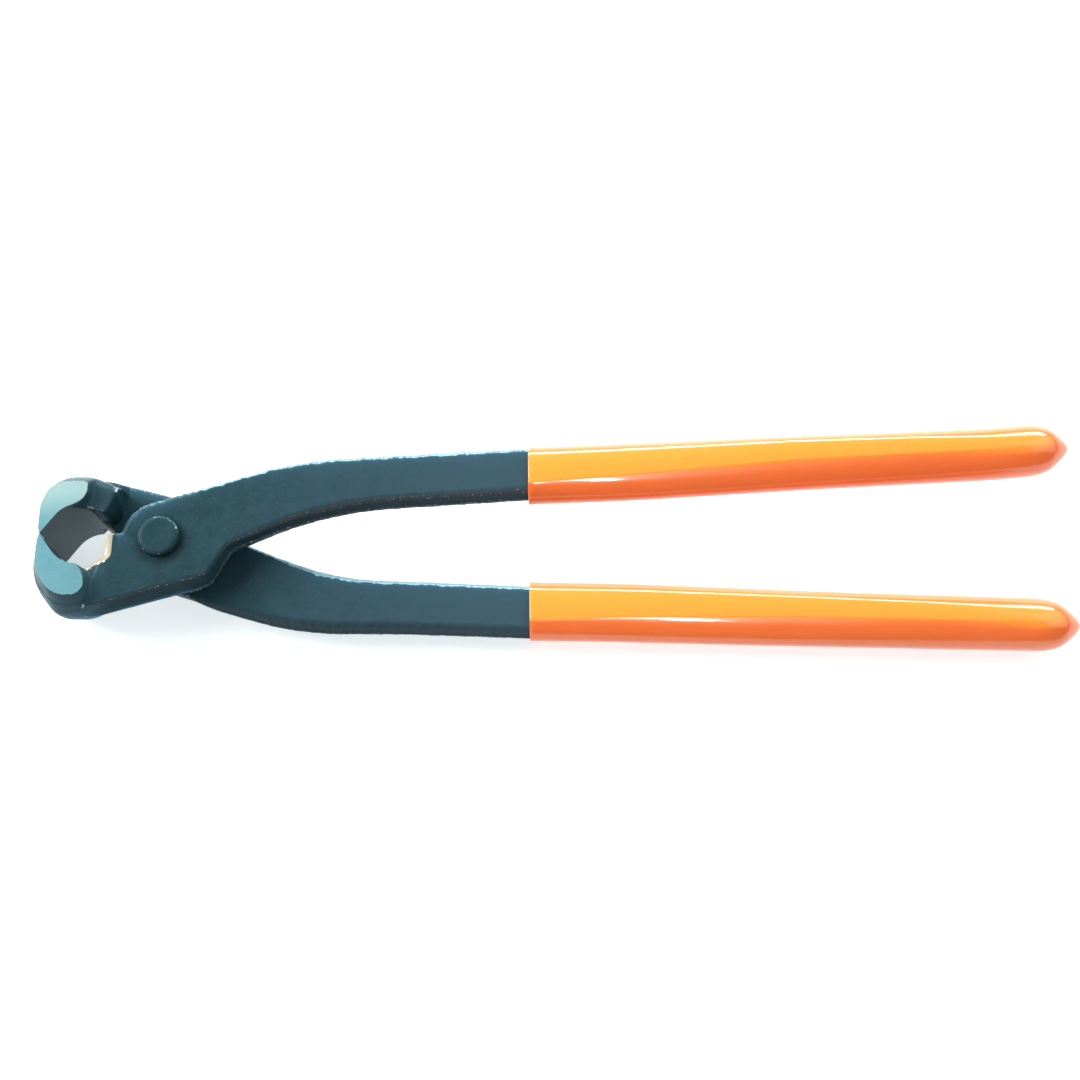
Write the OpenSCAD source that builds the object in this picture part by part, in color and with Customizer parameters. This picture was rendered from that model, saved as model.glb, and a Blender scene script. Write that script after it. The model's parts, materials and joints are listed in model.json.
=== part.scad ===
/* [Overall] */
// Total length from the nose of the jaws to the ends of the grips
overall_l = 250; // [225:1:290]
// Angle between each handle and the centre line
handle_angle = 2.2; // [1.5:0.1:3]

/* [Jaws] */
// Distance from the pivot axis to the closed cutting edges
edge_l = 27.5; // [27:0.1:28.5]
// Length of the cutting edges, and the thickness of the head
jaw_w = 22; // [19:0.5:24]
// Depth of one jaw, from the cutting edges to its outer back
jaw_h = 17.8; // [17:0.1:19]
// How far the nose stands out beyond the cutting edges
nose_out = 2.5; // [1.5:0.1:3]
// Radius of the eye between the jaws
eye_r = 7.6; // [6.5:0.1:8]
// Gap left between the two closed cutting edges
edge_gap = 0.1; // [0.05:0.05:0.3]

/* [Joint] */
// Thickness of each lever at the joint
plate_t = 7.5; // [6:0.5:8.5]
// Clearance between the two joint faces
face_gap = 0.2; // [0.1:0.05:0.4]
// Radius of the round shoulder on each joint plate
plate_r = 9.8; // [9:0.1:10]
// Diameter of the rivet shank
rivet_d = 8; // [6:0.1:8.5]
// Radial clearance of the shank in the lever that turns
rivet_play = 0.05; // [0.02:0.01:0.1]
// Diameter of the rivet heads
rivet_head_d = 10; // [9.6:0.1:12]
// Height of the rivet heads
rivet_head_t = 1.6; // [1:0.1:2.5]

/* [Handles] */
// Width of the bare handle bar where it meets the grip
bar_w = 11.8; // [10:0.1:12.5]
// Diameter of the round end of the bar inside the grip
bar_end_d = 10.6; // [9:0.1:11.5]
// Distance from the pivot axis to the mouth of the grips
grip_start = 88; // [75:1:100]
// Wall thickness of the dipped grips
grip_wall = 1; // [0.6:0.1:1.6]

/* [Hidden] */
$fn = 96;
eps = 0.02;
hull_fn = 32;
half_gap = face_gap / 2;

// Pivot position: the frame origin is the middle of the resting footprint
nose_l = edge_l + nose_out;
pivot_x = nose_l - overall_l / 2;
pivot_z = jaw_w / 2;
grip_end = overall_l - nose_l;

// Eye between the jaws: a round bore with two straight sides down to the edges
eye_angle = 54;
eye_x = -edge_l + eye_r / sin(eye_angle);
eye_back = -11;

// Jaw crown: the back, the nose and the chin are all rounded across the head
crown_r = 20;
crown_z = 1.6;
nose_r = 30;
chin_r = 27.5;
chin_angle = 218.5;
chin_out = 29.9;
bevel_angle = 59.4;
flat_end = -16.2;
flat_drop = 0.9;
heel_z = 9;
heel_x = -12.9;
heel_foot = -11.3;

// Handle bar
bar_corner = 1.8;
bar_start = 57;
bar_y = 14.95;
bar_in = 0.6;
grip_corner = 2.8;
nub_l = 1.4;
nub_d = 4.4;

rivet_chamfer = 0.7;
head_lift = 0.1;

// Point at distance r and angle a
function polar(r, a) = [r * cos(a), r * sin(a)];

// Corner at b of the path a-b-c, rounded with radius r in n steps
function corner(a, b, c, r, n) =
    let (
        u = (a - b) / norm(a - b),
        v = (c - b) / norm(c - b),
        half = acos(max(-1, min(1, u * v))) / 2,
        reach = r / tan(half),
        mid = b + (u + v) / norm(u + v) * r / sin(half),
        from = b + u * reach - mid,
        to = b + v * reach - mid,
        turn = 180 - 2 * half,
        side = from[0] * to[1] - from[1] * to[0] > 0 ? 1 : -1,
        start = atan2(from[1], from[0])
    )
    [for (i = [0 : n]) mid + polar(r, start + side * turn * i / n)];

// Closed path of [x, y, radius] points with every corner rounded
function rounded(path, n = 8) =
    [for (i = [0 : len(path) - 1])
        let (
            a = path[(i + len(path) - 1) % len(path)],
            b = path[i],
            c = path[(i + 1) % len(path)]
        )
        each b[2] > 0
            ? corner([a[0], a[1]], [b[0], b[1]], [c[0], c[1]], b[2], n)
            : [[b[0], b[1]]]];

// Joint plate and root of one handle, seen along the pivot axis
arc_start = 170;
arc_end = 106.5;
arc_steps = 16;
plate_left = -14;
plate_top = 1.5;
top_bend = [32.5, 19.85, 95];
arc_last = concat(polar(plate_r, arc_end), [0]);
bar_cover = 0.1;
bar_lap = 1;
top_end = [bar_start + bar_lap, bar_y + bar_w / 2 + bar_cover, 0];
low_end = [bar_start + bar_lap, bar_y - bar_w / 2 - bar_cover, 0];
low_bend = [39.4, 8.1, 90];
crotch = [16.6, -1.9, 4];
heel_corner = [11.9, -9.6, 2.6];
belly_start = [-14.9, -16.3, 0];
jaw_inside = [-16, -12, 0];
eye_inside = [-14, -4, 0];

module plate_outline() {
    polygon(concat(
        [[plate_left, plate_top]],
        [for (i = [0 : arc_steps - 1])
            polar(plate_r, arc_start + (arc_end - arc_start) * i / arc_steps)],
        rounded([arc_last, top_bend, top_end, low_end, low_bend, crotch, heel_corner,
                 belly_start, jaw_inside, eye_inside])
    ));
}

// One jaw before the eye is cut, seen along the pivot axis
nose_low = [-nose_l, -(nose_out / tan(90 - bevel_angle)), 3];
nose_base = [-nose_l, -9.9, 5];
chin = [-24.6, -jaw_h + 1.1, 4];
back = [-18.4, -jaw_h, 4];
heel_end = -9.4;
heel_back = [heel_end, -jaw_h + 3.7, 0];
heel_front = [heel_end, -5.2, 0];

module jaw_outline() {
    polygon(rounded([
        [-edge_l, -edge_gap / 2, 0], nose_low, nose_base, chin, back,
        heel_back, heel_front, [heel_end, -edge_gap / 2, 0]
    ]));
}

// Thickness of the head along its length: flat jaw sides, then the heel
module head_profile() {
    polygon([
        [-nose_l - 1, -jaw_w / 2], [-nose_l - 1, jaw_w / 2],
        [flat_end, jaw_w / 2], [flat_end + flat_drop, plate_t],
        [heel_foot, plate_t - 1], [heel_foot, half_gap + 1], [heel_foot, 0],
        [heel_x, -heel_z], [flat_end - flat_drop, -heel_z],
        [flat_end - flat_drop, -jaw_w / 2]
    ]);
}

// Round barrel lying across the head, reaching out to distance d at angle a
module crown(a, d, r, z) {
    rotate([0, 0, a])
        translate([d - r, 0, z])
            rotate([90, 0, 0])
                cylinder(r = r, h = 4 * nose_l, center = true);
}

module eye_cut() {
    intersection() {
        union() {
            translate([eye_x, 0, -jaw_w])
                cylinder(r = eye_r, h = 2 * jaw_w);
            translate([0, 0, -jaw_w])
                linear_extrude(height = 2 * jaw_w)
                    polygon([
                        [-edge_l, 0],
                        [eye_x, 0] + polar(eye_r, 90 + eye_angle),
                        [eye_x, 0],
                        [eye_x, 0] + polar(eye_r, -90 - eye_angle)
                    ]);
        }
        translate([-2 * edge_l, -edge_l, -jaw_w])
            cube([2 * edge_l + eye_back, 2 * edge_l, 2 * jaw_w]);
    }
}

module jaw() {
    intersection() {
        translate([0, 0, -jaw_w / 2])
            linear_extrude(height = jaw_w)
                jaw_outline();
        translate([0, 1, 0])
            rotate([90, 0, 0])
                linear_extrude(height = jaw_h + 4)
                    head_profile();
        crown(-90, jaw_h, crown_r, crown_z);
        crown(180, nose_l, nose_r, 0);
        crown(chin_angle, chin_out, chin_r, 0);
    }
}

// Rounded bar section, centred, lying in the plane across the handle
module bar_section(w, t, r) {
    polygon(rounded([
        [-w / 2, -t / 2, r], [w / 2, -t / 2, r],
        [w / 2, t / 2, r], [-w / 2, t / 2, r]
    ], 6));
}

// Places children on the handle axis, x along the handle from the pivot side
module on_handle(x) {
    translate([bar_start, bar_y, (plate_t + half_gap) / 2])
        rotate([0, 0, handle_angle])
            translate([(x - bar_start) / cos(handle_angle), 0, 0])
                children();
}

module across() {
    rotate([90, 0, 90])
        linear_extrude(height = eps)
            children();
}

bar_t = plate_t - half_gap;

module handle_bar() {
    on_handle(bar_start)
        rotate([90, 0, 90])
            linear_extrude(height = (grip_start - bar_start) / cos(handle_angle) + bar_in)
                bar_section(bar_w, bar_t, bar_corner);
    hull() {
        on_handle(grip_start)
            across()
                bar_section(bar_w, bar_t, bar_corner);
        on_handle(grip_end - nub_l - grip_wall - bar_end_d / 2)
            sphere(d = bar_end_d, $fn = hull_fn);
    }
}

module lever(bore) {
    difference() {
        union() {
            translate([0, 0, half_gap])
                linear_extrude(height = bar_t)
                    plate_outline();
            jaw();
            handle_bar();
        }
        eye_cut();
        translate([0, 0, -jaw_w])
            cylinder(d = bore, h = 2 * jaw_w);
    }
}

module sleeve() {
    difference() {
        union() {
            hull() {
                on_handle(grip_start)
                    across()
                        bar_section(bar_w + 2 * grip_wall, bar_t + 2 * grip_wall,
                                    grip_corner);
                on_handle(grip_end - nub_l - grip_wall - bar_end_d / 2)
                    sphere(d = bar_end_d + 2 * grip_wall, $fn = hull_fn);
            }
            on_handle(grip_end - nub_l - grip_wall)
                rotate([0, 90, 0])
                    cylinder(d1 = nub_d, d2 = nub_d / 2, h = nub_l + grip_wall);
        }
        hull() {
            on_handle(grip_start - eps)
                across()
                    bar_section(bar_w, bar_t, bar_corner);
            on_handle(grip_end - nub_l - grip_wall - bar_end_d / 2)
                sphere(d = bar_end_d, $fn = hull_fn);
        }
    }
}

// Both levers are the same forging, one turned over about the long axis
module turned_over() {
    rotate([180, 0, 0])
        children();
}

module at_pivot() {
    translate([pivot_x, 0, pivot_z])
        children();
}

module rear_lever() {
    color([0.13, 0.19, 0.22])
        at_pivot()
            turned_over()
                lever(rivet_d);
}

module front_lever() {
    color([0.15, 0.22, 0.25])
        at_pivot()
            lever(rivet_d + 2 * rivet_play);
}

module pivot_rivet() {
    color([0.3, 0.36, 0.38])
        at_pivot()
            rotate_extrude()
                polygon([
                    [0, -plate_t - rivet_head_t],
                    [rivet_head_d / 2 - rivet_chamfer, -plate_t - rivet_head_t],
                    [rivet_head_d / 2, -plate_t - rivet_head_t + rivet_chamfer],
                    [rivet_head_d / 2, -plate_t],
                    [rivet_d / 2, -plate_t],
                    [rivet_d / 2, plate_t + head_lift],
                    [rivet_head_d / 2, plate_t + head_lift],
                    [rivet_head_d / 2, plate_t + rivet_head_t - rivet_chamfer],
                    [rivet_head_d / 2 - rivet_chamfer, plate_t + rivet_head_t],
                    [0, plate_t + rivet_head_t]
                ]);
}

module lower_grip() {
    color([0.93, 0.45, 0.16])
        at_pivot()
            turned_over()
                sleeve();
}

module upper_grip() {
    color([0.96, 0.5, 0.18])
        at_pivot()
            sleeve();
}

rear_lever();
front_lever();
pivot_rivet();
lower_grip();
upper_grip();
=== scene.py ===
import json
import math
import bmesh
import bpy
import numpy as np
from mathutils import Matrix, Vector

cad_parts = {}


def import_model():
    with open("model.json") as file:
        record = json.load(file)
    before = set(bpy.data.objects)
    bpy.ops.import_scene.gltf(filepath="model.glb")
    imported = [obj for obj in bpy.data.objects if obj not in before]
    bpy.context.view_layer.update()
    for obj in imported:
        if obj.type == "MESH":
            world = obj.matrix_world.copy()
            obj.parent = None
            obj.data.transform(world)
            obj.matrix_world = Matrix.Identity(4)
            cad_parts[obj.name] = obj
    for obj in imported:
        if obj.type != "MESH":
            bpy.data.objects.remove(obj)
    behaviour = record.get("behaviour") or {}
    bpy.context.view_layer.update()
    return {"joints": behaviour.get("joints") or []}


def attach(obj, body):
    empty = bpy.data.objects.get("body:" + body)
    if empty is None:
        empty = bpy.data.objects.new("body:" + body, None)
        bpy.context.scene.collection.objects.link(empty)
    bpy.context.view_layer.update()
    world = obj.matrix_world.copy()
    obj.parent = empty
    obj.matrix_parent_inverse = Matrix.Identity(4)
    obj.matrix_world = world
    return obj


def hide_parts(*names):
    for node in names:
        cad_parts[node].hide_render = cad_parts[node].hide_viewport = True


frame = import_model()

# Lengths in the shape code are millimetres from the pivot: x towards the grips, y towards the
# front lever's handle, z along the pivot axis. Both levers are the same forging, one turned over.
MM = 0.001
PIVOT = Vector(frame["joints"][0]["pos_m"])
TURNED_OVER = Matrix.Rotation(math.pi, 4, 'X')
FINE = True

JAW_HALF = 11.0          # half the length of the cutting edges
FACE = 7.5               # outer face of the joint plate
LAP = 0.1                # lap face of the joint plate
MID = 3.8                # middle of the plate and handle thickness
EDGE_X = -27.5           # cutting edge
EDGE_GAP = 0.05          # each jaw's edge stays this far from the middle line
EYE_R = 7.6              # hollow behind the cutting edges
EYE_ANGLE = math.radians(54)
EYE_X = EDGE_X + EYE_R / math.sin(EYE_ANGLE)
EYE_WALL = -13.0
PLATE_R = 9.7            # joint plate round the pivot
BORE_R = 4.05
SHANK_R = 4.0
HEAD_R = 5.0             # rivet head
HEAD_RISE = 1.6
MOUTH = 88.0             # mouth of the grips
TIP = 220.0              # ends of the grips
AXIS_X, AXIS_Y = 57.0, 14.95    # a point on the grip's middle line
AXIS_SLOPE = math.tan(math.radians(2.2))
PAINTED, FLAT, HOLLOW, SLOPE = range(4)     # surface classes of a lever, in the order of its materials


# ---------------------------------------------------------------- fields
def smooth_min(a, b, k):
    h = np.clip(0.5 + 0.5 * (b - a) / k, 0, 1)
    return b + (a - b) * h - k * h * (1 - h)


def smooth_max(a, b, k):
    return -smooth_min(-a, -b, k)


def round_max(a, b, r):
    return np.minimum(np.maximum(a, b), -r) + np.hypot(np.maximum(a + r, 0), np.maximum(b + r, 0))


def step(low, high, v):
    t = np.clip((v - low) / (high - low), 0, 1)
    return t * t * (3 - 2 * t)


def ripple(x, y, z):
    """Slow unevenness of a forged surface, from -1 to 1."""
    return (np.sin(0.83 * x + 1.31 * y + 0.57 * z + 1.0) + np.sin(-0.61 * x + 0.92 * y + 1.43 * z + 2.3)
            + np.sin(1.57 * x - 0.71 * y + 0.39 * z + 4.1) + np.sin(0.37 * x + 2.03 * y - 1.1 * z + 0.4)) / 4


def corner(a, b, c, r, n):
    """Points of the arc of radius r that rounds the corner b between a and c."""
    a, b, c = (np.array(p[:2], float) for p in (a, b, c))
    u, v = (a - b) / np.linalg.norm(a - b), (c - b) / np.linalg.norm(c - b)
    half = math.acos(max(-1, min(1, float(u @ v)))) / 2
    centre = b + (u + v) / np.linalg.norm(u + v) * r / math.sin(half)
    first = b + u * r / math.tan(half) - centre
    last = b + v * r / math.tan(half) - centre
    side = 1 if first[0] * last[1] - first[1] * last[0] > 0 else -1
    start, turn = math.atan2(first[1], first[0]), math.pi - 2 * half
    return [tuple(centre + r * np.array([math.cos(start + side * turn * i / n),
                                         math.sin(start + side * turn * i / n)])) for i in range(n + 1)]


def rounded(path, n=10):
    out = []
    for i, p in enumerate(path):
        if p[2] > 0:
            out += corner(path[i - 1], p, path[(i + 1) % len(path)], p[2], n)
        else:
            out.append((p[0], p[1]))
    return out


def arc(r, start, end, n):
    angles = [math.radians(start + (end - start) * i / n) for i in range(n + 1)]
    return [(r * math.cos(a), r * math.sin(a)) for a in angles]


SHOULDER = arc(PLATE_R, 170, 106.5, 14)
# outline of plate, handle and tang: (x, y, corner radius)
OUTLINE = [(-14, 1.5)] + SHOULDER[:-1] + rounded([
    (*SHOULDER[-1], 0), (32.5, 20.0, 95), (MOUTH + 1, 22.6, 30), (100, 21.9, 20), (212, 25.4, 5.2),
    (212, 16.4, 5.2), (100, 11.9, 20), (MOUTH + 1, 10.35, 30), (39.4, 7.55, 90), (16.6, -2.2, 4),
    (11.9, -9.8, 2.6), (-14.9, -17.2, 12), (-17.6, -17.35, 0), (-16, -12, 0), (-14, -4, 0)])


def outline_distance(x, y):
    shape = np.broadcast(x, y).shape
    inside, best = np.zeros(shape, bool), np.full(shape, np.inf)
    for (ax, ay), (bx, by) in zip(OUTLINE, OUTLINE[1:] + OUTLINE[:1]):
        ex, ey = bx - ax, by - ay
        px, py = x - ax, y - ay
        t = np.clip((px * ex + py * ey) / (ex * ex + ey * ey), 0, 1)
        best = np.minimum(best, (px - t * ex) ** 2 + (py - t * ey) ** 2)
        inside ^= ((ay > y) != (by > y)) & (px < ex * py / (ey or 1.0))
    return np.where(inside, -1, 1) * np.sqrt(best)


def parting_height(x):
    """Height of the forging's parting line: on the lap face at the plate, mid thickness behind it."""
    return LAP + (MID - LAP) * step(4, 20, x)


def plate(x, y, z):
    """Joint plate, handle and the tang inside the grip."""
    tang = step(MOUTH, 206, x)
    parting = parting_height(x)
    draft = 0.12 * (1 - tang)
    side = outline_distance(x, y) + draft * (np.abs(z - parting) - np.abs(MID - parting))
    side = side - 0.24 * (1 - tang) * np.exp(-((z - parting) / 0.35) ** 2) * step(-4, 6, x)
    bare = 1 - step(80, 88, x)
    side = side + 0.05 * bare * ripple(x, y, z)
    slab = np.abs(z - MID) - (MID - LAP) - 1.6 * tang
    uneven = 1 + 0.22 * bare * (np.sin(1.9 * x) + np.sin(3.1 * x + 1.2) + np.sin(0.83 * x + 2)) / 3
    radius = (0.6 + 1.0 * step(8, 40, x) + 0.8 * step(-2, 4, y) * step(30, 8, x)) * uneven + 3.5 * tang
    lap_radius = 0.9 + (radius - 0.9) * step(12, 30, x)
    return round_max(side, slab, np.where(z > MID, radius, lap_radius))


def crown(x, y, z, angle, out, r, level):
    """Barrel of radius r across the thickness, its crest out mm from the pivot in direction angle."""
    across = math.cos(math.radians(angle)) * x + math.sin(math.radians(angle)) * y
    return np.hypot(across - (out - r), z - level) - r


def rim_line(h):
    """How far right the raised part reaches along the hollow's rim, at height h above the lap."""
    return -16.7 - 0.17 * h - 0.75 * np.maximum(h - 5.4, 0)


def jaw(x, y, z):
    """Thick head of the lever with the cutting edge."""
    nose = crown(x, y, z, 180, 30.0, 30, 0)
    bevel = -0.861 * (x - EDGE_X) + 0.509 * y
    chin = crown(x, y, z, 218.5, 29.9, 27.5, 0)
    back = crown(x, y, z, 270, 17.55 - 0.43 * smooth_max(x + 17.5, 0, 2), 20, 1.6)
    skin = smooth_max(smooth_max(smooth_max(nose, bevel, 0.5), chin, 2.2), back, 2.2)
    skin = skin + 0.06 * ripple(x, y, z)
    # front step: the thick part ends in a round shoulder above the plate
    cheek = np.minimum(np.hypot(x + 22.7, y + 12.6) - 6.5, x + 22.7) - 0.257 * (JAW_HALF - z)
    front_face = z - (FACE - 0.05) + 0.7 * step(-15.5, -11.2, x)
    front = smooth_min(round_max(skin, front_face, 0.35), round_max(skin, cheek, 1.8), 0.9)
    # rear step: the heel, and the pocket that clears the other lever's plate
    h = -z
    rim_x = rim_line(h)
    rim_y = -np.sqrt(np.maximum(EYE_R ** 2 - (rim_x - EYE_X) ** 2, 0))
    by_eye = 0.9 * (x - rim_x)
    foot = 0.045 * (x - rim_x) + y - rim_y + 0.3 * step(0, 0.9, x - rim_x)
    toe = -0.326 * (x + 17.5) + 0.945 * (y + 7.45)
    outer = 0.902 * (x + 12.8) + 0.431 * (y + 7.7) - 0.17 * (FACE - h)
    heel = smooth_min(round_max(smooth_min(foot, toe, 0.6), outer, 1.3), by_eye, 0.5)
    heel = round_max(heel, round_max(skin, h - FACE, 1.4), 0.45)
    rise = 0.458 * (x - rim_x) + 0.888 * (y - rim_y)
    cheek = smooth_min(round_max(x + 17.1 - 0.16 * (JAW_HALF - h), rise, 2.0), by_eye, 0.3)
    rear = np.minimum(smooth_min(heel, round_max(skin, cheek, 0.35), 0.7), LAP - z)
    body = round_max(front, rear, 0.35)
    body = np.maximum(body, np.maximum(x + 11.0, y + EDGE_GAP))
    return np.maximum(body, np.abs(z) - JAW_HALF)


def eye(x, y):
    """Distance from the outline of the hollow between the jaws, negative inside it."""
    ay = np.abs(y)
    s, c = math.sin(EYE_ANGLE), math.cos(EYE_ANGLE)
    along = (x - EDGE_X) * c + ay * s
    wedge = -(x - EDGE_X) * s + ay * c
    tangent = (EYE_X - EDGE_X) * c
    ring = np.hypot(x - EYE_X, y) - EYE_R
    slant = 0.70 * (x + 15.2) + 0.714 * (ay - 6.0)
    return smooth_max(smooth_max(np.where(along < tangent, wedge, ring), slant, 0.3), x - EYE_WALL, 0.8)


def rim_chamfer(x):
    """Width of the bright chamfer where the hollow breaks through the plate's outer face."""
    return (0.6 + 1.3 * step(-17, -11.5, x)) * step(-18.4, -16.2, x)


def eye_cut(x, y, z):
    """The hollow, widened towards the outer face by the chamfer."""
    d = eye(x, y)
    wide = rim_chamfer(x)
    return np.minimum(d, 0.72 * (d - np.clip(z - (FACE - wide), 0, wide)))


def lever(x, y, z):
    """One whole forging."""
    a, b = plate(x, y, z), jaw(x, y, z)
    body = np.where(z > 1.2, smooth_min(a, b, 0.5), np.minimum(a, b))
    body = np.maximum(body, -eye_cut(x, y, z))
    return np.maximum(body, BORE_R - np.hypot(x, y))


# ---------------------------------------------------------------- surface from a field
def gradient(field, p):
    """Unit normals of a field at the point rows p."""
    e = 1e-3
    g = np.stack([field(p[:, 0] + e * (i == 0), p[:, 1] + e * (i == 1), p[:, 2] + e * (i == 2))
                  - field(p[:, 0] - e * (i == 0), p[:, 1] - e * (i == 1), p[:, 2] - e * (i == 2))
                  for i in range(3)], 1)
    return g / np.maximum(np.linalg.norm(g, axis=1, keepdims=True), 1e-12)


def crossing(field, p, q, fp, fq):
    """Where the field is zero between the point rows p and q."""
    a, b, fa, fb = np.zeros(len(p)), np.ones(len(p)), fp.copy(), fq.copy()
    for i in range(7):
        t = a - fa * (b - a) / (fb - fa) if i % 2 == 0 else (a + b) / 2
        m = p + (q - p) * t[:, None]
        fm = field(m[:, 0], m[:, 1], m[:, 2])
        same = (fm < 0) == (fa < 0)
        a, fa = np.where(same, t, a), np.where(same, fm, fa)
        b, fb = np.where(same, b, t), np.where(same, fb, fm)
    t = a - fa * (b - a) / (fb - fa)
    return p + (q - p) * t[:, None]


def dual_contour(field, xs, ys, zs):
    """Mesh of a field's zero surface, with its sharp edges kept: one vertex in each crossed cell."""
    axes = (xs, ys, zs)
    f = np.ascontiguousarray(np.broadcast_to(field(xs[:, None, None], ys[None, :, None], zs[None, None, :]),
                                             (len(xs), len(ys), len(zs))))
    cells = np.array([len(a) - 1 for a in axes])
    count = int(cells.prod())
    rows, quads = [], []
    for axis in range(3):
        low = np.take(f, range(0, f.shape[axis] - 1), axis)
        high = np.take(f, range(1, f.shape[axis]), axis)
        at = np.argwhere((low < 0) != (high < 0))
        fp, fq = low[tuple(at.T)], high[tuple(at.T)]
        nxt = at.copy()
        nxt[:, axis] += 1
        p = np.stack([axes[i][at[:, i]] for i in range(3)], 1)
        q = np.stack([axes[i][nxt[:, i]] for i in range(3)], 1)
        hit = crossing(field, p, q, fp, fq)
        normal = gradient(field, hit)
        u, v = (axis + 1) % 3, (axis + 2) % 3
        around = []
        for du, dv in ((0, 0), (1, 0), (1, 1), (0, 1)):
            cell = at.copy()
            cell[:, u] -= du
            cell[:, v] -= dv
            around.append((cell[:, 0] * cells[1] + cell[:, 1]) * cells[2] + cell[:, 2])
            rows.append((around[-1], hit, normal))
        around = np.stack(around, 1)
        around[fp >= 0] = around[fp >= 0][:, ::-1]
        quads.append(around)
    cell = np.concatenate([r[0] for r in rows])
    hit = np.concatenate([r[1] for r in rows])
    normal = np.concatenate([r[2] for r in rows])
    used, index = np.unique(cell, return_inverse=True)
    n = len(used)
    total = np.bincount(index, minlength=n).astype(float)
    centre = np.stack([np.bincount(index, hit[:, i], n) for i in range(3)], 1) / total[:, None]
    offset = ((hit - centre[index]) * normal).sum(1)
    ata = np.empty((n, 3, 3))
    atb = np.empty((n, 3))
    for i in range(3):
        atb[:, i] = np.bincount(index, normal[:, i] * offset, n)
        for j in range(3):
            ata[:, i, j] = np.bincount(index, normal[:, i] * normal[:, j], n)
    w, e = np.linalg.eigh(ata)
    inverse = np.where(w > 0.08 * w[:, 2:3], 1 / np.maximum(w, 1e-9), 0)
    move = np.einsum('nij,nj,nkj,nk->ni', e, inverse, e, atb)
    k, j, i = used % cells[2], used // cells[2] % cells[1], used // (cells[1] * cells[2])
    lowest = np.stack([xs[i], ys[j], zs[k]], 1)
    highest = np.stack([xs[i + 1], ys[j + 1], zs[k + 1]], 1)
    spare = 0.25 * (highest - lowest)
    points = np.clip(centre + move, lowest - spare, highest + spare)
    faces = np.searchsorted(used, np.concatenate(quads))
    return points, faces


def spread(*spans):
    """Grid lines through (start, end, first step, last step) spans, the steps growing evenly."""
    out = []
    for start, end, first, last in spans:
        n = max(2, round((end - start) / ((first + last) / 2)))
        sizes = np.linspace(first, last, n)
        out.append(start + np.concatenate([[0], np.cumsum(sizes)[:-1]]) * (end - start) / sizes.sum())
    return np.concatenate(out + [[spans[-1][1]]])


def link(obj):
    bpy.context.collection.objects.link(obj)
    return obj


def mesh_object(name, points, faces, place, materials, smooth_angle=35.0):
    mesh = bpy.data.meshes.new(name)
    mesh.from_pydata([tuple(p) for p in points], [], [tuple(int(i) for i in f) for f in faces])
    mesh.transform(place)
    mesh.validate()
    for m in materials:
        mesh.materials.append(m)
    mesh.shade_smooth()
    mesh.set_sharp_from_angle(angle=math.radians(smooth_angle))
    return link(bpy.data.objects.new(name, mesh))


def add_layers(obj, layers):
    """Named values at the points of a mesh, for its material."""
    for label, values in layers.items():
        layer = obj.data.attributes.new(label, 'FLOAT', 'POINT')
        layer.data.foreach_set("value", values.astype(np.float32))


def place_matrix(turned):
    m = Matrix.Translation(PIVOT) @ Matrix.Scale(MM, 4)
    return m @ TURNED_OVER if turned else m


# ---------------------------------------------------------------- materials
class Nodes:
    """Short-hand for building one node material."""

    def __init__(self, name):
        self.material = bpy.data.materials.new(name)
        self.material.use_nodes = True
        self.tree = self.material.node_tree
        self.shader = self.tree.nodes["Principled BSDF"]

    def add(self, kind, values=(), **settings):
        node = self.tree.nodes.new(kind)
        for key, value in settings.items():
            setattr(node, key, value)
        for key, value in dict(values).items():
            self.set(node.inputs[key], value)
        return node

    def set(self, socket, value):
        if isinstance(value, bpy.types.NodeSocket):
            self.tree.links.new(value, socket)
        else:
            socket.default_value = value

    def noise(self, vector, scale, detail=3.0, rough=0.5):
        return self.add("ShaderNodeTexNoise", {"Vector": vector, "Scale": scale, "Detail": detail,
                                               "Roughness": rough}).outputs["Fac"]

    def ramp(self, fac, low, high, out_low=0.0, out_high=1.0):
        return self.add("ShaderNodeMapRange", {"Value": fac, "From Min": low, "From Max": high,
                                               "To Min": out_low, "To Max": out_high}).outputs["Result"]

    def mix(self, fac, a, b):
        node = self.add("ShaderNodeMix", data_type='RGBA')
        self.set(node.inputs["Factor"], fac)
        self.set(node.inputs["A"], a)
        self.set(node.inputs["B"], b)
        return node.outputs["Result"]

    def math(self, operation, a, b=0.0):
        node = self.add("ShaderNodeMath", operation=operation)
        self.set(node.inputs[0], a)
        self.set(node.inputs[1], b)
        return node.outputs[0]

    def attribute(self, name):
        return self.add("ShaderNodeAttribute", attribute_name=name).outputs["Fac"]

    def coords(self, stretch=(1, 1, 1)):
        """Object coordinates in millimetres, each axis times its stretch."""
        at = self.add("ShaderNodeTexCoord").outputs["Object"]
        scale = tuple(s / MM for s in stretch)
        return self.add("ShaderNodeMapping", {"Vector": at, "Scale": scale}).outputs[0]

    def finish(self, **values):
        for key, value in values.items():
            self.set(self.shader.inputs[key.replace("_", " ")], value)
        return self.material

    def bump(self, height, strength, distance_mm):
        return self.add("ShaderNodeBump", {"Height": height, "Strength": strength,
                                           "Distance": distance_mm * MM}).outputs["Normal"]


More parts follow.
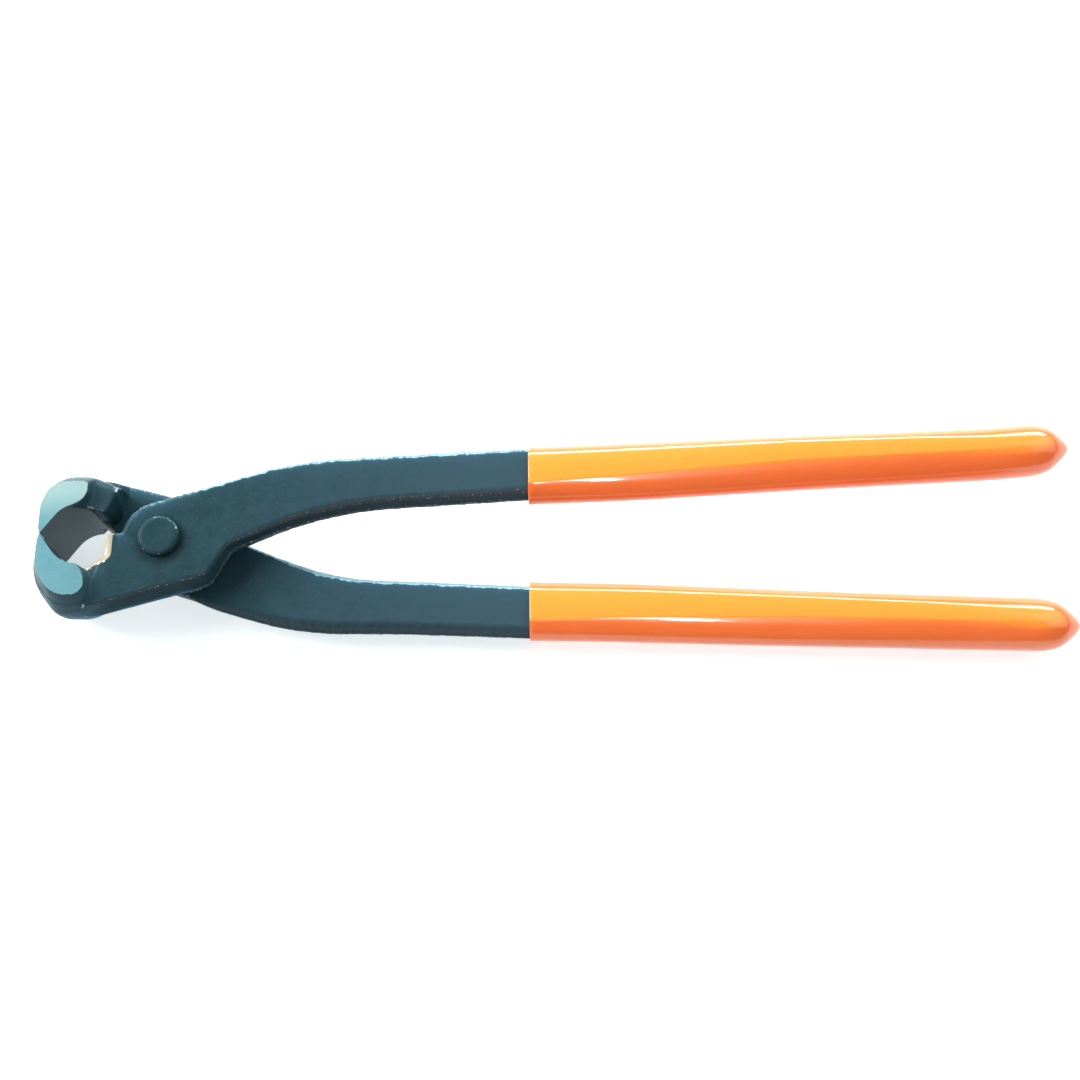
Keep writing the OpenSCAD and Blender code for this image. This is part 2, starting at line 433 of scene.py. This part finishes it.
def paint():
    """Dark blue-black oxide finish over forged steel, rubbed thin along the edges, with painted light and
    shade laid over it.
    """
    n = Nodes("blackened_steel")
    at = n.coords()
    grain = n.noise(at, 1.6, 5, 0.65)
    blotch = n.noise(at, 0.22, 3)
    base = n.mix(n.ramp(blotch, 0.35, 0.65), (0.0073, 0.026, 0.033, 1), (0.0105, 0.033, 0.042, 1))
    # painted light: the paint lightens towards the grips, as if lit more strongly there
    along = n.add("ShaderNodeSeparateXYZ", {"Vector": at}).outputs["X"]
    base = n.mix(n.ramp(along, -90, -20, 0, 0.9), base, (0.025, 0.052, 0.069, 1))
    base = n.mix(n.ramp(grain, 0.56, 0.8, 0, 0.5), base, (0.05, 0.06, 0.072, 1))
    # painted highlight: a pale band along the upper outline of handle and plate
    base = n.mix(n.math('MULTIPLY', n.attribute("painted_sheen"), 0.9), base, (0.03, 0.085, 0.125, 1))
    # painted fill light: the thick head is made lighter and bluer
    base = n.mix(n.math('MULTIPLY', n.attribute("jaw"), 0.8), base, (0.024, 0.062, 0.08, 1))
    # painted reflection of the floor: side walls low down and the chin turned blue
    base = n.mix(n.math('MULTIPLY', n.attribute("painted_floor_reflection"), 0.85), base, (0.03, 0.12, 0.2, 1))
    # painted shadow: a dark crescent round the rivet head
    base = n.mix(n.math('MULTIPLY', n.attribute("painted_rivet_shadow"), 0.3), base, (0.0015, 0.003, 0.004, 1))
    # painted highlight: a lighter grey line on the bevels facing down
    base = n.mix(n.math('MULTIPLY', n.attribute("painted_bevel_highlight"), 0.6), base, (0.06, 0.066, 0.072, 1))
    # wear on convex edges, plus a painted pale reflection on bevels facing up
    edge = n.math('ADD', n.attribute("edge"), n.math('MULTIPLY', n.attribute("top"), 0.6))
    # worn spots placed as painted glints on broad convex places and the lower bevels
    seam = n.math('ADD', n.attribute("soft"), n.math('MULTIPLY', n.attribute("painted_bevel_highlight"), 0.42))
    spark = n.math('MULTIPLY', seam, n.ramp(n.noise(at, 2.0, 2, 0.6), 0.6, 0.68, 0, 1.5))
    edge = n.math('ADD', edge, spark)
    rub = n.math('ADD', edge, n.ramp(n.noise(at, 1.5, 4, 0.7), 0.3, 0.7, -0.42, 0.08))
    rub = n.ramp(rub, 0.2, 0.42)
    # worn metal is warm grey; on bevels facing up it turns pale cyan, a painted reflection
    worn = n.mix(n.ramp(n.attribute("top"), 0.1, 0.5), (0.4, 0.36, 0.31, 1), (0.2, 0.36, 0.41, 1))
    colour = n.mix(n.math('MULTIPLY', rub, 0.75), base, worn)
    return n.finish(Base_Color=colour, Metallic=n.ramp(rub, 0, 1, 0.0, 0.6),
                    Roughness=n.ramp(n.noise(at, 0.7, 4), 0.3, 0.7, 0.3, 0.46),
                    Specular_IOR_Level=n.ramp(n.attribute("wall"), 0, 1, 0.07, 0.02),
                    Normal=n.bump(n.math('ADD', grain, n.noise(at, 5.0, 2)), 0.35, 0.05))


def ground():
    """Ground flats: brushed bright steel."""
    n = Nodes("ground_steel")
    lines = n.noise(n.coords((0.35, 5.0, 1.0)), 1.5, 4, 0.6)
    tone = n.noise(n.coords(), 0.16, 2)
    colour = n.mix(n.ramp(tone, 0.3, 0.7), (0.042, 0.15, 0.18, 1), (0.058, 0.165, 0.195, 1))
    # painted reflection: the flat at +y, on the upper jaw, is made paler and creamier
    across = n.add("ShaderNodeSeparateXYZ", {"Vector": n.coords()}).outputs["Y"]
    colour = n.mix(n.ramp(across, 3.0, 10.5), colour, (0.17, 0.27, 0.265, 1))
    colour = n.mix(n.ramp(lines, 0.3, 0.75, 0, 0.35), colour, (0.14, 0.23, 0.24, 1))
    return n.finish(Base_Color=colour, Metallic=0.6, Roughness=n.ramp(lines, 0.3, 0.7, 0.34, 0.5),
                    Normal=n.bump(lines, 0.25, 0.02))


def bare():
    """Bare cut steel inside the hollow."""
    n = Nodes("bare_steel")
    lines = n.noise(n.coords((0.6, 0.6, 4.0)), 1.2, 4, 0.6)
    colour = n.mix(n.ramp(lines, 0.3, 0.7), (0.045, 0.075, 0.09, 1), (0.065, 0.095, 0.11, 1))
    # painted light: the hollow lightens towards its right end
    along = n.add("ShaderNodeSeparateXYZ", {"Vector": n.coords()}).outputs["X"]
    colour = n.mix(n.ramp(along, -113.5, -108.5), colour, (0.13, 0.15, 0.155, 1))
    return n.finish(Base_Color=colour, Metallic=0.6, Roughness=n.ramp(lines, 0.3, 0.7, 0.36, 0.5),
                    Normal=n.bump(lines, 0.3, 0.02))


def chamfer():
    """Bare steel chamfer at the rim of the hollow; its bright cream colour is a painted highlight."""
    n = Nodes("chamfer_steel")
    lines = n.noise(n.coords((1, 1, 3.0)), 1.4, 3)
    colour = n.mix(n.ramp(lines, 0.3, 0.7), (0.62, 0.55, 0.42, 1), (0.8, 0.72, 0.56, 1))
    return n.finish(Base_Color=colour, Metallic=0.8, Roughness=0.34, Normal=n.bump(lines, 0.2, 0.02))


def vinyl():
    """Dipped glossy orange vinyl."""
    n = Nodes("dipped_vinyl")
    at = n.coords((0.25, 1, 1))
    tone = n.noise(at, 0.25, 2)
    colour = n.mix(n.ramp(tone, 0.3, 0.7), (0.80, 0.148, 0.026, 1), (0.83, 0.162, 0.032, 1))
    # painted light: lighter, yellower vinyl on the facets facing up
    colour = n.mix(n.attribute("crown"), colour, (0.85, 0.222, 0.025, 1))
    height = n.math('ADD', n.noise(at, 0.35, 2), n.math('MULTIPLY', n.noise(n.coords(), 2.5, 2), 0.1))
    return n.finish(Base_Color=colour, Roughness=0.22, Specular_IOR_Level=0.3,
                    Coat_Weight=0.6, Coat_Roughness=0.06,
                    Subsurface_Weight=0.25, Subsurface_Radius=(1.0, 0.35, 0.12), Subsurface_Scale=0.0012,
                    Normal=n.bump(height, 0.12, 0.12))


PAINT, GROUND, BARE, CHAMFER = paint(), ground(), bare(), chamfer()
VINYL = vinyl()


# ---------------------------------------------------------------- levers
def lever_mesh():
    s = 0.3 if FINE else 0.45
    xs = spread((-30.7, 30, s, s), (30, 92, s, 1.1), (92, 204, 1.5, 3.0), (204, 213, 1.5, 0.8))
    ys = spread((-18.6, 28, s, s))
    zs = spread((-11.41, 11.41, s, s))
    points, faces = dual_contour(lever, xs, ys, zs)
    # surface class of each face, from its middle
    middle = points[faces].mean(1)
    mx, my, mz = middle.T
    normal = gradient(lever, middle)
    d = eye(mx, my)
    kind = np.full(len(faces), PAINTED)
    head = mx < -12.0
    kind[(np.abs(mz) > JAW_HALF - 0.06) & (np.abs(normal[:, 2]) > 0.9)] = FLAT
    raised = (mz > -0.2) | (mx < rim_line(-mz) + 0.2)
    inside = (d < 0.04) & head & (np.abs(normal[:, 2]) < 0.3) & raised
    kind[inside] = HOLLOW
    wide = rim_chamfer(mx)
    slope = (mz > FACE - wide - 0.02) & (mz < FACE + 0.02) & (d < wide + 0.1) & (d > 0.03) & (wide > 0.1)
    kind[slope & (normal[:, 2] > 0.4) & (normal[:, 2] < 0.93)] = SLOPE
    kind[(my > -0.1) & (mx < -20)] = FLAT
    # how convex the surface is close by
    n = gradient(lever, points)

    def convex(depth):
        q = points - n * depth
        return np.clip((lever(q[:, 0], q[:, 1], q[:, 2]) + depth) / depth, 0, 1)

    return points, faces, kind, convex(0.6), convex(2.0), n


LEVER_POINTS, LEVER_FACES, LEVER_KIND, LEVER_EDGE, LEVER_SOFT, LEVER_NORMAL = lever_mesh()


def make_lever(name, node, body, turned):
    """One lever, with the layers its paint reads.

    edge and soft: convex places, close by and broad; top: bevels facing up, rubbed and given a painted
    pale reflection; painted_bevel_highlight: painted highlight on bevels facing down; painted_sheen:
    painted highlight band along the upper outline; wall: side walls; painted_floor_reflection: painted
    reflection of the floor on side walls low down and on the chin; painted_rivet_shadow: painted shadow
    round the rivet head; jaw: the thick head, painted lighter as fill light."""
    x, y, z = LEVER_POINTS.T
    points = LEVER_POINTS.copy()
    if turned:
        points[:, 1] += 0.9 * step(4, 14, x) * step(62, 26, x) * step(3, 9, y)
    o = mesh_object(name, points, LEVER_FACES, place_matrix(turned), [PAINT, GROUND, BARE, CHAMFER])
    o.data.polygons.foreach_set("material_index", LEVER_KIND.astype(np.int32))
    # the normal's y and z as the lever lies in the tool, and how the outline faces upwards
    sign = -1 if turned else 1
    upward, side = LEVER_NORMAL[:, 1] * sign, LEVER_NORMAL[:, 2] * sign
    slope = (outline_distance(x, y + 0.05) - outline_distance(x, y - 0.05)) * 10 * sign
    inward = np.maximum(-outline_distance(x, y), 0)
    reach = np.maximum(step(5, 40, x), step(14, 2, x) * (x > -10))
    # painted highlight: a pale band just inside the upper outline
    painted_sheen = np.exp(-inward / 1.6) * step(0.2, 0.8, slope) * reach * step(0.3, 0.8, side)
    flatness = np.abs(side)
    bend = step(0.16, 0.4, flatness) * step(0.985, 0.93, flatness) * (x > -12)
    bend = bend * (0.3 + 0.75 * step(-0.1, 0.1, side))
    # painted highlight: bevels facing up on head and handles made pale, as a reflection of light
    painted_brow_highlight = step(0.7, 0.85, upward) * step(0.18, 0.32, side) * (x < -8) * (0.1 + 0.42 * step(-14, -16, x))
    top = np.maximum(step(0.1, 0.5, upward) * bend * (0.6 + 0.4 * step(4, 12, x)), painted_brow_highlight)
    wall = step(0.35, 0.15, flatness) * step(0.4, 0.0, upward)
    foot = (2 * MID - LAP - z) if turned else (z - LAP)
    # painted reflection of the floor on side walls low down and on the chin
    painted_floor_reflection = wall * step(0.4, 0.8, -upward) * step(2.4, 0.4, foot) * step(-14, -8, x)
    chin = np.clip(-upward, 0, 1) + 0.5 * np.clip(-LEVER_NORMAL[:, 0], 0, 1)
    painted_floor_reflection = np.maximum(painted_floor_reflection, step(-0.2, 0.25, -side) * step(0.4, 0.9, chin) * step(-8, -14, x))
    # painted highlight on bevels facing down
    painted_bevel_highlight = step(0.3, 0.6, -upward) * step(0.25, 0.5, side) * step(0.98, 0.9, side)
    painted_bevel_highlight = painted_bevel_highlight * (0.35 if turned else 1.0) * step(-16, -13, x)
    parting = parting_height(x)
    # parting ridge: worn, and also a painted highlight line along it
    seam = 0.5 * np.exp(-((z - parting) / 0.4) ** 2) * (flatness < 0.5) * step(2, 14, x)
    edge = np.maximum(LEVER_EDGE, seam * (x < MOUTH))
    # painted shadow of the rivet head, offset towards the lower right
    round_head = np.hypot(x - 0.5, y + 0.8 * sign)
    painted_rivet_shadow = step(6.9, 5.3, round_head) * (flatness > 0.9) * (np.hypot(x, y) > 4.5)
    add_layers(o, {"edge": edge, "soft": LEVER_SOFT ** 2, "top": top, "painted_floor_reflection": painted_floor_reflection, "painted_sheen": painted_sheen,
                   "painted_rivet_shadow": painted_rivet_shadow, "wall": wall, "painted_bevel_highlight": painted_bevel_highlight, "jaw": step(-11, -17, x)})
    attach(o, body)
    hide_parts(node)


make_lever("rear_forging", "rear_lever", "rear_half", True)
make_lever("front_forging", "front_lever", "front_half", False)


# ---------------------------------------------------------------- rivet
def lathe(profile, turns):
    """Closed surface of (radius, height) points turned about z; the first and last have radius 0."""
    rings = profile[1:-1]
    points = [(0, 0, profile[0][1])]
    for r, h in rings:
        points += [(r * math.cos(2 * math.pi * i / turns), r * math.sin(2 * math.pi * i / turns), h)
                   for i in range(turns)]
    points.append((0, 0, profile[-1][1]))
    faces = [(0, 1 + (i + 1) % turns, 1 + i) for i in range(turns)]
    for k in range(len(rings) - 1):
        a, b = 1 + k * turns, 1 + (k + 1) * turns
        faces += [(a + i, a + (i + 1) % turns, b + (i + 1) % turns, b + i) for i in range(turns)]
    a = 1 + (len(rings) - 1) * turns
    faces += [(a + i, a + (i + 1) % turns, len(points) - 1) for i in range(turns)]
    return np.array(points), faces


def head_profile(base, top):
    """Half section of a rivet head from its rim up to the middle: chamfer, soft edge, faint dish."""
    s = 1 if top > base else -1
    return [(HEAD_R, base), (HEAD_R, base + s * 0.55), (4.94, base + s * 0.85), (4.72, base + s * 1.22),
            (4.4, top - s * 0.1), (4.05, top), (3.4, top - s * 0.02), (2.3, top - s * 0.05),
            (1.1, top - s * 0.07)]


def rivet():
    top = head_profile(FACE + LAP, FACE + HEAD_RISE)
    low = head_profile(-FACE, -FACE - HEAD_RISE)
    shank = [(SHANK_R, -FACE), (SHANK_R, FACE + LAP)]
    profile = [(0, low[-1][1])] + low[::-1] + shank + top + [(0, top[-1][1])]
    points, faces = lathe(profile, 96 if FINE else 48)
    r = np.hypot(points[:, 0], points[:, 1])
    wear = 0.035 * ripple(points[:, 0] * 1.4, points[:, 1] * 1.4, points[:, 2]) * step(0.5, 3, r)
    points[:, 2] += np.where(np.abs(points[:, 2]) > FACE + 0.5, wear, 0)
    o = mesh_object("rivet", points, faces, place_matrix(False), [PAINT])
    depth = np.abs(points[:, 2]) - FACE
    rim = np.clip(1 - np.abs(r - 4.6) / 0.5, 0, 1) * (depth > 0.5)
    # painted highlight: a pale reflection on the upper part of the head's rim
    crest = rim * step(0.2, 0.9, (0.5 * points[:, 0] + points[:, 1]) / np.maximum(r, 0.1))
    # painted glints: spots on the lower part of the rim
    painted_rim_glints = 0.6 * rim * step(-1, -3, points[:, 1])
    add_layers(o, {"edge": 0.16 * rim, "top": 0.72 * crest, "soft": painted_rim_glints})
    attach(o, "rear_half")
    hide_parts("pivot_rivet")


rivet()


# ---------------------------------------------------------------- grips
FACET = 8                # steps across the facet on each grip
SKIN_INSET, BORE_INSET = 0.04, 0.95


def between(x, *pairs):
    """Value at x on straight lines through (x, value) pairs."""
    xs, vs = np.array([p[0] for p in pairs], float), np.array([p[1] for p in pairs], float)
    return float(np.interp(x, xs, vs))


def grip_section(x, shrink, n):
    """Ring of (y, z) points of the grip at x, from the grip's axis; shrink takes it inwards.

    The flat of the bar shows through as a faintly domed facet between two creases."""
    w = between(x, (MOUTH, 7.3), (118, 7.25), (158, 6.8), (205, 6.5)) - shrink
    top = between(x, (MOUTH, 4.9), (130, 5.35), (200, 6.35)) - shrink
    fade = between(x, (185, 1.0), (212, 0.0))
    near = between(x, (MOUTH, 4.4), (115, 4.35), (152, 4.0), (184, 3.2), (212, 1.7)) - 0.5 * shrink
    far = between(x, (MOUTH, -3.7), (115, -2.5), (152, -1.1), (184, -1.1), (212, -0.9)) + 0.5 * shrink
    tilt_near = math.radians(15)
    tilt_far = math.radians(-3)
    dome = (near - far) / (math.sin(tilt_near) - math.sin(tilt_far))
    apex = top - dome
    turn_near = math.radians(15 + 20 * fade)
    turn_far = math.radians(3 + 30 * fade)

    def side(start, turn, edge_y, height, first=()):
        a = (w - edge_y) / (1 - math.sin(turn))
        b = height / math.cos(turn)
        out = []
        for i in (0, *first, *range(1, n + 1)):
            phi = turn + (start - turn) * i / n
            out.append((w - a + a * math.sin(phi), b * math.cos(phi)))
        return out

    near_z = apex + dome * math.cos(tilt_near)
    far_z = apex + dome * math.cos(tilt_far)
    right = side(math.pi / 2, turn_near, near, near_z)[::-1]
    left = [(-y, z) for y, z in side(math.pi / 2, turn_far, -far, far_z, (0.04 * n,))]
    facet = []
    for i in (*range(1, FACET), FACET - 0.3):
        tilt = tilt_near + (tilt_far - tilt_near) * i / FACET
        facet.append((far + dome * (math.sin(tilt) - math.sin(tilt_far)), apex + dome * math.cos(tilt)))
    half_ring = right + facet + left
    return half_ring[:-1] + [(-y, -z) for y, z in half_ring[:-1]]


# rolled lip at the mouth of a grip: (distance, inset), and its closed end: (distance, scale)
LIP_PROFILE = [(0.1, 0.9), (0.0, 0.75), (0.0, 0.3), (0.02, 0.12), (0.09, 0.04), (0.2, 0.0), (1.2, 0.0),
               (2.4, 0.03)]
END_PROFILE = [(0.0, 1.0), (2.0, 0.99), (3.6, 0.96), (5.0, 0.915), (6.2, 0.85), (7.2, 0.765), (8.2, 0.65),
               (9.2, 0.52), (10.2, 0.375), (10.9, 0.25), (11.4, 0.14), (11.6, 0.07)]


def axis_y(x):
    """Height of the grip's middle line at x."""
    lean = 0.2 * float(step(110, MOUTH, np.array(x))) - 0.27 * float(step(158, 110, np.array(x)))
    return AXIS_Y + (x - AXIS_X) * AXIS_SLOPE + lean


def grip_mesh():
    n = 14 if FINE else 8
    rings = []

    def ring(x, scale, shrink, at=None):
        cx = x if at is None else at
        rings.append([(x, axis_y(x) + y * scale, MID + z * scale) for y, z in grip_section(cx, shrink, n)])

    end = TIP + 0.45 - END_PROFILE[-1][0]
    # inner wall from deep inside to the mouth, then the rolled lip, then the outer skin to the tip
    for x in np.linspace(end - 4, MOUTH + 0.4, 20):
        ring(x, 1.0, BORE_INSET)
    for dx, inset in LIP_PROFILE:
        ring(MOUTH + dx, 1.0, inset)
    for x in np.linspace(MOUTH + 5, end, 60 if FINE else 30):
        ring(x, 1.0, SKIN_INSET)
    for dx, scale in END_PROFILE[1:]:
        ring(end + dx, scale, SKIN_INSET, at=end)
    count = len(rings[0])
    points = [p for r in rings for p in r]
    faces = []
    for k in range(len(rings) - 1):
        for i in range(count):
            a, b = k * count + i, k * count + (i + 1) % count
            faces.append((a, b, b + count, a + count))
    first, last = rings[0], rings[-1]
    points.append(tuple(np.mean(first, 0) + np.array([1.5, 0, 0])))
    points.append((TIP + 0.5, axis_y(TIP), MID))
    m = len(points)
    faces += [(m - 2, (i + 1) % count, i) for i in range(count)]
    base = (len(rings) - 1) * count
    faces += [(base + i, base + (i + 1) % count, m - 1) for i in range(count)]
    return np.array(points), faces


def make_grip(name, node, body, turned):
    points, faces = grip_mesh()
    if not turned:
        points[:, 1] += 0.5 * step(198, 216, points[:, 0])
    o = mesh_object(name, points, faces, place_matrix(turned), [VINYL], 60)
    bm = bmesh.new()
    bm.from_mesh(o.data)
    bmesh.ops.recalc_face_normals(bm, faces=bm.faces)
    bm.normal_update()
    # painted light: facets facing up get a lighter, yellower vinyl colour
    painted_lit_facet = step(0.88, 0.96, np.array([v.normal.z for v in bm.verts]))
    bm.to_mesh(o.data)
    bm.free()
    add_layers(o, {"crown": painted_lit_facet})
    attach(o, body)
    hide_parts(node)


make_grip("lower_sleeve", "lower_grip", "rear_half", True)
make_grip("upper_sleeve", "upper_grip", "front_half", False)


# ---------------------------------------------------------------- stage
def camera():
    """Above the tool, on the side of the rear lever's handle, looking down steeply."""
    cam = link(bpy.data.objects.new("camera", bpy.data.cameras.new("camera")))
    cam.data.lens = 52.13
    cam.data.sensor_width = 36
    cam.data.clip_start = 0.01
    tilt = math.radians(19.7)
    roll = math.radians(-0.66)
    place = Vector((90.69, -126.21, 357.76)) * MM
    m = Matrix.Rotation(roll, 4, 'Z') @ Matrix.Translation(place) @ Matrix.Rotation(tilt, 4, 'X')
    cam.matrix_world = Matrix.Translation(PIVOT) @ m
    bpy.context.scene.camera = cam


def floor():
    size = 3.0
    mesh = bpy.data.meshes.new("floor")
    corners = [(-size, -size, 0), (size, -size, 0), (size, size, 0), (-size, size, 0)]
    mesh.from_pydata(corners, [], [(0, 1, 2, 3)])
    o = link(bpy.data.objects.new("floor", mesh))
    n = Nodes("floor")
    tone = n.noise(n.coords(), 0.02, 2)
    colour = n.mix(n.ramp(tone, 0.3, 0.7), (0.55, 0.56, 0.57, 1), (0.57, 0.58, 0.58, 1))
    mesh.materials.append(n.finish(Base_Color=colour, Roughness=0.7,
                                   Emission_Color=(0.9, 0.98, 1, 1), Emission_Strength=0.65))


def area(name, place, size, power):
    """Rectangular light at place, turned to the tool."""
    light = bpy.data.lights.new(name, 'AREA')
    light.shape = 'RECTANGLE'
    light.size, light.size_y = size
    light.energy = power
    o = link(bpy.data.objects.new(name, light))
    o.location = Vector(place)
    o.rotation_euler = (Vector((0, 0, 0.01)) - Vector(place)).to_track_quat('-Z', 'Y').to_euler()


def world():
    """Weak even light from all round."""
    w = bpy.data.worlds.new("studio")
    w.use_nodes = True
    w.node_tree.nodes["Background"].inputs[0].default_value = (0.95, 0.98, 1.0, 1)
    w.node_tree.nodes["Background"].inputs[1].default_value = 0.3
    bpy.context.scene.world = w


camera()
floor()
world()
area("key", (0.05, 0.95, 0.45), (1.6, 0.26), 23)
area("left", (-0.8, 0.35, 0.58), (0.7, 0.6), 22)
area("right", (0.9, 0.2, 0.7), (1.1, 1.1), 5.5)
area("top", (0.085, -0.45, 0.95), (0.04, 0.3), 2)
bpy.context.scene.view_settings.view_transform = 'Standard'
